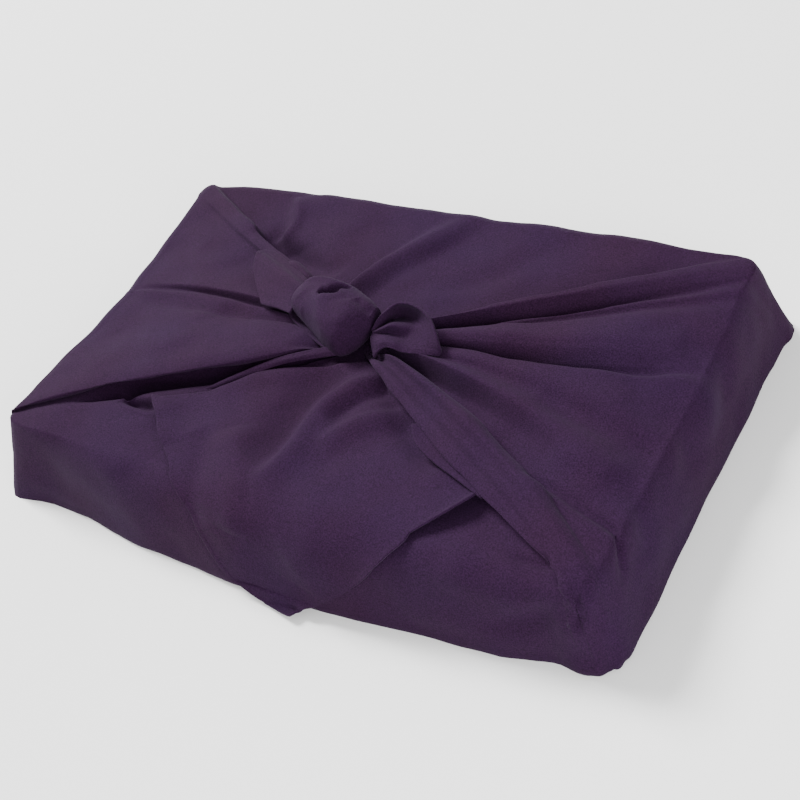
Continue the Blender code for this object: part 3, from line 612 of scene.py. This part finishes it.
def flap():
    """The flap: rows across it from under the knot to its point, straight down the top and the front.

    Its left and right sides come from the table of its outline. Near the knot they sink under the side folds.
    The right side curls up off the cloth below on the top, and stands off the front a little.
    """
    downs = np.linspace(FLAP_SIDES[0][0], FLAP_SIDES[-1][0], FLAP_ROWS)
    down = downs[:, None]
    across = np.linspace(0.0, 1.0, FLAP_COLUMNS)[None, :]
    left, right = curve_over(FLAP_SIDES, down).T[:, 0, :, None]
    x = left + (right - left) * across
    plan = np.stack(np.broadcast_arrays(x, -TOP_HALF[1] - down), axis=-1)
    under_folds = 1.0 - smooth((down - FLAP_DIVE_ENDS[0]) / (FLAP_DIVE_ENDS[1] - FLAP_DIVE_ENDS[0]))
    from_side = np.minimum(x - left, right - x) / FLAP_DIVE_WIDTH
    curl = np.exp(-((down - FLAP_CURL_PLACE) / FLAP_CURL_REACH)**2) * np.exp(-(right - x) / FLAP_CURL_WIDTH)
    lift = smooth(down / FLAP_HEM_REACH) * np.exp(-(right - x) / FLAP_HEM_REACH)
    height = (FLAP_PROUD + crease_height(plan, FLAP_CREASES) + unevenness(plan)
              - FLAP_DIVE * under_folds * (1.0 - smooth(from_side)) + FLAP_CURL * curl + FLAP_HEM_LIFT * lift)
    side = np.array(SIDE)[:WALL_ROWS]
    depth = 1.0 - side[:, 1] / TOP_HEIGHT
    at = np.maximum(downs, 0.0) / SIDE_LENGTH
    share, level, lean = [np.interp(at, depth, side[:, i]) for i in range(3)]
    past = np.clip((at - depth[-1]) / (FLAP_POINT_DROP / SIDE_LENGTH - depth[-1]), 0.0, 1.0)
    share = share + (FLAP_POINT_SPREAD - share) * past
    level = level + (FLAP_POINT_LEVEL - level) * smooth(FLAP_LIES_DOWN * past)
    lean = np.where(past > 0.0, 1.0 - smooth(FLAP_TURNS * past), lean)
    half = TOP_HALF[0] + (BASE_HALF[0] - TOP_HALF[0]) * np.minimum(share, 1.0)
    out = np.minimum(1.0 + downs / TOP_HALF[1], 1.0)
    angle = 360.0 + np.degrees(np.arctan2(-np.ones_like(down), x / half[:, None]))
    out, share, level, lean = [np.broadcast_to(v[:, None], x.shape) for v in (out, share, level, lean)]
    top = np.stack([x, -TOP_HALF[1] * out, TOP_HEIGHT - droop(angle, out) + height], axis=-1)
    wall = side_points(angle, height, share, level, lean, np.ones_like(x))
    return np.where((downs < 0.0)[:, None, None], top, wall)


# ---- the knot ----

# The knot's body: sections from its left end to its right end.
# x, y of the middle, z of the middle, half depth, rise above the middle, drop below it
KNOT_SECTIONS = (
    (-46.0, 13.5, 63.0,  3.5,  2.5,  2.5),
    (-43.0, 13.5, 62.5,  8.5,  6.5,  6.0),
    (-36.0, 13.5, 61.5, 12.5, 11.0,  8.0),
    (-25.0, 11.0, 60.5, 16.0, 14.0,  9.5),
    (-12.5,  6.5, 59.0, 18.5, 16.0, 10.0),
    (-3.5,   3.5, 58.5, 18.0, 15.5,  9.0),
    (3.0,    5.0, 60.0, 13.0, 12.0,  8.0),
    (8.5,    8.5, 63.0,  5.5,  5.0,  4.5),
)
KNOT_SQUARENESS = 0.78         # 1 is an oval; the lower, the squarer
KNOT_CREASE_REACH = 0.35       # how far below its widest line the creases reach, as a share of the drop
KNOT_ROWS, KNOT_AROUND = 130, 150
KNOT_CREASES = (
    # name, rise, half width, keenness, lean, route as seen from above
    ("pocket on top",             -6.5,  2.0, 0.0,   0.0, ((-25, 10), (-19, 12), (-13, 13.5))),
    ("crease beside the pocket",  -3.0,  1.4, 0.2,   0.0, ((-21, 14), (-15, 16.5), (-9, 18.5))),
    ("lip over the pocket",        1.8,  2.6, 0.1,   0.0, ((-42, 19), (-31, 21), (-21, 20), (-8, 18))),
    ("edge before the pocket",     0.9,  4.0, 0.0,   0.0, ((-22, 7), (-15, 8), (-9, 13))),
    ("fold down the left",         1.3,  4.6, 0.0,  -0.3, ((-27, 11), (-21, 4), (-15, -6), (-9, -14))),
    ("hollow left of it",         -1.2,  4.5, 0.0,   0.0, ((-36, 9), (-29, 2), (-21, -7))),
    ("tuck at the left",          -3.5,  1.8, 0.3,   0.0, ((-33, 0), (-28, -3.5), (-21, -7.5), (-14, -12))),
    ("pull to the right end",     -1.6,  2.6, 0.2,   0.0, ((-2, 11), (4, 8), (9, 7))),
    ("swell on the right",         1.2,  6.0, 0.0,   0.0, ((-7, 8), (-2, 0), (0, -8))),
)


def knot_body():
    """The knot: oval sections set along its length, squarer than an ellipse, closed to a point at both ends.

    The creases lift or sink its upper side only, straight up and down.
    """
    at = np.linspace(0.0, len(KNOT_SECTIONS) - 1, KNOT_ROWS)
    x, y, z, half, rise, drop = curve_through(KNOT_SECTIONS, at).T[:, :, None]
    turn = np.linspace(0.0, 2.0 * np.pi, KNOT_AROUND, endpoint=False)[None, :]
    c = np.sign(np.cos(turn)) * np.abs(np.cos(turn))**KNOT_SQUARENESS
    s = np.sign(np.sin(turn)) * np.abs(np.sin(turn))**KNOT_SQUARENESS
    points = np.stack(np.broadcast_arrays(x, y + half * c, z + np.where(s > 0, rise, drop) * s), axis=-1)
    points[..., 2] += crease_height(points[..., :2], KNOT_CREASES) * smooth(s + KNOT_CREASE_REACH)
    return points


# The loose pieces at the knot and the band, as lines of points, and how many points each has along and across
RIGHT_END_GRID, LEFT_END_GRID = (60, 60), (50, 50)
INNER_FOLD_GRID, BAND_LEAF_GRID, UNDER_KNOT_GRID = (60, 12), (50, 16), (50, 16)

# The right end: a cupped leaf with a turned-down lip. Lines from its root outwards, from its back to the lip
RIGHT_END = (
    ((10.0, 1.5, 62.0), (13.0, 6.0, 67.0), (17.0, 9.5, 70.0),
     (21.5, 13.5, 72.0), (28.0, 14.5, 72.5), (34.5, 13.5, 72.0)),
    ((10.5, 1.0, 61.5), (13.5, 4.5, 64.0), (16.5, 9.5, 65.0),
     (19.5, 15.5, 65.5), (27.0, 16.0, 67.0), (39.5, 11.5, 71.0)),
    ((11.0, 1.0, 61.5), (14.0, 4.5, 62.0), (16.0, 11.0, 60.5),
     (20.0, 15.5, 60.0), (30.5, 13.5, 63.5), (45.0, 8.0, 70.0)),
    ((11.5, 0.0, 62.0), (17.0, 0.5, 65.0), (22.5, 3.0, 67.0),
     (27.5, 5.0, 65.5), (35.0, 7.0, 63.5), (50.0, 2.5, 68.0)),
    ((11.5, -1.0, 61.5), (14.5, 0.0, 62.0), (19.5, 1.5, 62.0),
     (25.5, 1.5, 61.5), (34.5, 1.0, 61.5), (53.5, -2.0, 64.5)),
    ((12.5, -4.5, 61.0), (17.5, -6.0, 63.0), (22.5, -5.5, 64.5),
     (27.5, -5.5, 64.0), (35.5, -4.5, 61.5), (54.5, -3.5, 61.5)),
    ((18.0, -12.5, 57.0), (20.0, -10.5, 60.0), (23.5, -8.5, 62.0),
     (28.5, -8.5, 62.5), (35.0, -8.0, 60.5), (53.5, -4.5, 59.5)),
)

# The left end: a flat point with a fold along it, in the same way
LEFT_END = (
    ((-43.5, 24.5, 63.5), (-61.0, 35.5, 60.5), (-77.0, 44.0, 58.5), (-90.0, 50.0, 57.5)),
    ((-43.5, 21.5, 65.0), (-62.0, 31.0, 63.0), (-79.0, 39.5, 61.0), (-91.5, 45.5, 59.5)),
    ((-43.0, 17.0, 68.0), (-59.5, 25.0, 66.5), (-76.0, 33.0, 64.5), (-91.0, 40.0, 62.5)),
    ((-42.0, 11.5, 66.0), (-56.0, 16.0, 64.0), (-70.0, 20.0, 62.0), (-85.5, 28.0, 60.0)),
    ((-42.0, 1.0, 63.0), (-54.0, 4.5, 61.0), (-61.0, 5.5, 60.0), (-67.0, 7.0, 59.0)),
)

# The fold that shows inside the hollow at the left, from its back edge to its front edge
INNER_FOLD = (
    ((-92.0, -64.0, 46.0), (-72.0, -51.0, 49.5), (-58.0, -41.5, 53.0),
     (-43.0, -31.0, 56.0), (-29.0, -21.5, 57.5), (0.0, -6.0, 58.0)),
    ((-91.5, -65.0, 45.5), (-71.5, -52.0, 48.5), (-57.5, -43.0, 52.0),
     (-42.5, -32.5, 55.0), (-28.0, -24.0, 56.5), (0.0, -9.0, 57.0)),
    ((-91.5, -66.0, 45.0), (-71.5, -53.0, 47.0), (-57.5, -44.0, 50.5),
     (-42.5, -34.0, 53.5), (-28.5, -25.0, 55.0), (0.0, -12.0, 55.0)),
)

# The corner of cloth that shows beside the band
BAND_LEAF = (
    ((69.0, -43.0, 57.0), (76.0, -49.0, 57.0), (84.0, -54.0, 56.5),
     (93.0, -58.5, 56.0), (103.0, -64.0, 55.5), (116.0, -72.0, 55.0)),
    ((65.5, -44.5, 56.0), (72.5, -51.0, 56.0), (80.5, -56.5, 55.5),
     (89.5, -61.0, 55.0), (100.0, -66.5, 54.5), (113.5, -74.5, 54.0)),
    ((61.0, -48.5, 58.0), (66.0, -56.0, 57.0), (74.0, -61.5, 56.0),
     (84.0, -66.0, 55.0), (95.0, -70.0, 54.5), (113.0, -77.0, 53.5)),
)

# The turned edge of the layer under the knot, at its left
UNDER_KNOT = (
    ((-42.0, 12.0, 55.5), (-36.0, 8.0, 55.0), (-29.0, 3.0, 54.5), (-18.5, -2.0, 54.0), (-7.0, -7.5, 54.0)),
    ((-47.0, 10.5, 56.5), (-41.0, 5.0, 56.0), (-32.5, 0.0, 55.5), (-21.5, -5.5, 55.0), (-10.5, -10.5, 54.5)),
    ((-50.0, 8.5, 59.0), (-44.0, 2.5, 58.5), (-35.5, -2.5, 58.0), (-24.0, -8.0, 57.5), (-12.5, -13.0, 57.0)),
)


def through_lines(lines, rows, columns):
    """A smooth surface through a few lines of points: a curve along each line, then curves across them."""
    lines = np.array(lines, dtype=float)
    along = curve_through(np.swapaxes(lines, 0, 1), np.linspace(0.0, lines.shape[1] - 1, rows))
    across = curve_through(np.swapaxes(along, 0, 1), np.linspace(0.0, lines.shape[0] - 1, columns))
    return np.swapaxes(across, 0, 1)


# ---- finish ----

# Colours are linear, and scales are in waves or cells for each metre
DARK_THREAD, LIGHT_THREAD = (0.0102, 0.0028, 0.0122, 1.0), (0.0255, 0.0078, 0.0300, 1.0)
DARK_THREAD_TO, LIGHT_THREAD_FROM = 0.30, 0.72      # of the grain
RED_CAST, BLUE_CAST = (1.0, 0.92, 0.93, 1.0), (0.94, 0.98, 1.08, 1.0)
RED_CAST_TO, BLUE_CAST_FROM = 0.35, 0.68            # of the patches
GRAIN_SCALE, PEBBLE_SCALE, PATCH_SCALE = 1500.0, 1000.0, 14.0
GRAIN_DETAIL, PATCH_DETAIL = 2.0, 3.0
BUMP_STRENGTH, BUMP_DISTANCE = 0.22, 0.0004
CREPE_ROUGHNESS, CREPE_SPECULAR = 0.88, 0.08
SHEEN, SHEEN_ROUGHNESS, SHEEN_TINT = 0.03, 0.5, (0.62, 0.50, 0.75, 1.0)


def two_tones(nodes, first, first_to, second, second_from):
    """A ramp node from one colour, held up to a place, to another, held from a place."""
    ramp = nodes.new("ShaderNodeValToRGB")
    ramp.color_ramp.elements[0].position = first_to
    ramp.color_ramp.elements[0].color = first
    ramp.color_ramp.elements[1].position = second_from
    ramp.color_ramp.elements[1].color = second
    return ramp


def crepe_group():
    """Shader group: the grain of crepe, as a colour and a height, from the place on the object.

    The colour goes from the dark to the light thread with the grain, times a slow drift in patches.
    The height is the grain and the pebbles added up.
    """
    group = bpy.data.node_groups.new("crepe grain", "ShaderNodeTree")
    group.interface.new_socket("Vector", in_out="INPUT", socket_type="NodeSocketVector")
    group.interface.new_socket("Colour", in_out="OUTPUT", socket_type="NodeSocketColor")
    group.interface.new_socket("Height", in_out="OUTPUT", socket_type="NodeSocketFloat")
    nodes, links = group.nodes, group.links
    inputs = nodes.new("NodeGroupInput")
    outputs = nodes.new("NodeGroupOutput")
    grain = nodes.new("ShaderNodeTexNoise")
    grain.inputs["Scale"].default_value = GRAIN_SCALE
    grain.inputs["Detail"].default_value = GRAIN_DETAIL
    pebble = nodes.new("ShaderNodeTexVoronoi")
    pebble.inputs["Scale"].default_value = PEBBLE_SCALE
    patch = nodes.new("ShaderNodeTexNoise")
    patch.inputs["Scale"].default_value = PATCH_SCALE
    patch.inputs["Detail"].default_value = PATCH_DETAIL
    for node in (grain, pebble, patch):
        links.new(inputs.outputs["Vector"], node.inputs["Vector"])
    tone = two_tones(nodes, DARK_THREAD, DARK_THREAD_TO, LIGHT_THREAD, LIGHT_THREAD_FROM)
    links.new(grain.outputs["Fac"], tone.inputs["Fac"])
    drift = two_tones(nodes, RED_CAST, RED_CAST_TO, BLUE_CAST, BLUE_CAST_FROM)
    links.new(patch.outputs["Fac"], drift.inputs["Fac"])
    mixed = nodes.new("ShaderNodeMix")
    mixed.data_type = "RGBA"
    mixed.blend_type = "MULTIPLY"
    mixed.inputs["Factor"].default_value = 1.0
    links.new(tone.outputs["Color"], mixed.inputs["A"])
    links.new(drift.outputs["Color"], mixed.inputs["B"])
    links.new(mixed.outputs["Result"], outputs.inputs["Colour"])
    height = nodes.new("ShaderNodeMath")
    height.operation = "ADD"
    links.new(grain.outputs["Fac"], height.inputs[0])
    links.new(pebble.outputs["Distance"], height.inputs[1])
    links.new(height.outputs["Value"], outputs.inputs["Height"])
    return group


def crepe(group):
    """Plain dark purple crepe: matt, with a fine grain and a soft sheen."""
    material = bpy.data.materials.new("purple crepe")
    material.use_nodes = True
    nodes, links = material.node_tree.nodes, material.node_tree.links
    surface = nodes["Principled BSDF"]
    place = nodes.new("ShaderNodeTexCoord")
    grain = nodes.new("ShaderNodeGroup")
    grain.node_tree = group
    bump = nodes.new("ShaderNodeBump")
    bump.inputs["Strength"].default_value = BUMP_STRENGTH
    bump.inputs["Distance"].default_value = BUMP_DISTANCE
    links.new(place.outputs["Object"], grain.inputs["Vector"])
    links.new(grain.outputs["Colour"], surface.inputs["Base Color"])
    links.new(grain.outputs["Height"], bump.inputs["Height"])
    links.new(bump.outputs["Normal"], surface.inputs["Normal"])
    surface.inputs["Roughness"].default_value = CREPE_ROUGHNESS
    surface.inputs["Specular IOR Level"].default_value = CREPE_SPECULAR
    surface.inputs["Sheen Weight"].default_value = SHEEN
    surface.inputs["Sheen Roughness"].default_value = SHEEN_ROUGHNESS
    surface.inputs["Sheen Tint"].default_value = SHEEN_TINT
    return material


# ---- the pieces ----

FREE_HEMS = ("left", "right", "end")   # the edges with a hem of a free end, and of a fold
ONE_HEM = ("right",)


def build():
    """Every piece of the wrap, dressed."""
    cloth = crepe(crepe_group())
    wrapped = dress(closed_rings("wrapped_cloth", body(), cloth))
    point = dress(cloth_sheet("flap_with_point", flap(), cloth, hem=("left", "right")))
    knot = dress(closed_rings("knot", knot_body(), cloth))
    right = dress(cloth_sheet("right_end", through_lines(RIGHT_END, *RIGHT_END_GRID), cloth, hem=FREE_HEMS))
    left = dress(cloth_sheet("left_end", through_lines(LEFT_END, *LEFT_END_GRID), cloth, hem=FREE_HEMS))
    inner = dress(cloth_sheet("inner_fold", through_lines(INNER_FOLD, *INNER_FOLD_GRID), cloth, hem=ONE_HEM))
    leaf = dress(cloth_sheet("band_leaf", through_lines(BAND_LEAF, *BAND_LEAF_GRID), cloth, hem=ONE_HEM))
    under = dress(cloth_sheet("turned_edge", through_lines(UNDER_KNOT, *UNDER_KNOT_GRID), cloth, hem=ONE_HEM))


# ---- stage ----

# Places and distances are in metres
CAMERA_TARGET = np.array([0.0036, 0.0084, 0.0])
CAMERA_AZIMUTH, CAMERA_HEIGHT, CAMERA_ROLL = np.radians([44.70, 43.09, -21.48])
CAMERA_DISTANCE = 0.7823
CAMERA_LENS, CAMERA_SENSOR = 64.2, 36.0      # in mm
FLOOR_HALF = 3.0
FLOOR_COLOUR, FLOOR_ROUGHNESS = (0.92, 0.92, 0.92, 1.0), 0.9
SURROUND_COLOUR, SURROUND_STRENGTH = (1.0, 1.0, 1.0, 1.0), 0.92
LIGHTS = (
    # name, place, side of its square, power in W
    ("light from the left",  (-3.25, 1.15, 3.30), 1.6, 575.0),
    ("light from the right", (1.05, -0.74, 0.58), 0.8, 22.0),
)


def stand(name, data, right, up, back, place):
    """A camera or light at a place, from its right, up and back directions: it looks away from its back."""
    item = bpy.data.objects.new(name, data)
    matrix = np.vstack([np.column_stack([right, up, back, place]), [0, 0, 0, 1]])
    item.matrix_world = Matrix(matrix.tolist())
    bpy.context.scene.collection.objects.link(item)
    return item


def camera():
    """The camera, looking down on the front right of the wrap, turned about its own axis."""
    a, h, r = CAMERA_AZIMUTH, CAMERA_HEIGHT, CAMERA_ROLL
    back = np.array([np.sin(a) * np.cos(h), -np.cos(a) * np.cos(h), np.sin(h)])
    level = np.array([np.cos(a), np.sin(a), 0.0])
    up = np.cross(back, level)
    right = np.cos(r) * level + np.sin(r) * up
    top = -np.sin(r) * level + np.cos(r) * up
    data = bpy.data.cameras.new("camera")
    data.sensor_width = CAMERA_SENSOR
    data.lens = CAMERA_LENS
    bpy.context.scene.camera = stand("camera", data, right, top, back, CAMERA_TARGET + back * CAMERA_DISTANCE)


def soft_light(name, place, size, power):
    """A square area light facing the wrap."""
    data = bpy.data.lights.new(name, "AREA")
    data.size = size
    data.energy = power
    from_wrap = unit(np.array(place))
    side = unit(np.cross((0.0, 0.0, 1.0), from_wrap))
    stand(name, data, side, np.cross(from_wrap, side), from_wrap, place)


def stage():
    """A white floor, an even white surround, a large light far off to the left, a small one at the right."""
    mesh = bpy.data.meshes.new("floor")
    corners = [(x * FLOOR_HALF, y * FLOOR_HALF, 0.0) for x, y in ((-1, -1), (1, -1), (1, 1), (-1, 1))]
    mesh.from_pydata(corners, [], [(0, 1, 2, 3)])
    floor = bpy.data.objects.new("floor", mesh)
    paper = bpy.data.materials.new("white floor")
    paper.use_nodes = True
    paper.node_tree.nodes["Principled BSDF"].inputs["Base Color"].default_value = FLOOR_COLOUR
    paper.node_tree.nodes["Principled BSDF"].inputs["Roughness"].default_value = FLOOR_ROUGHNESS
    mesh.materials.append(paper)
    bpy.context.scene.collection.objects.link(floor)
    world = bpy.data.worlds.new("surround")
    world.use_nodes = True
    world.node_tree.nodes["Background"].inputs["Color"].default_value = SURROUND_COLOUR
    world.node_tree.nodes["Background"].inputs["Strength"].default_value = SURROUND_STRENGTH
    bpy.context.scene.world = world
    for light in LIGHTS:
        soft_light(*light)


build()
camera()
stage()
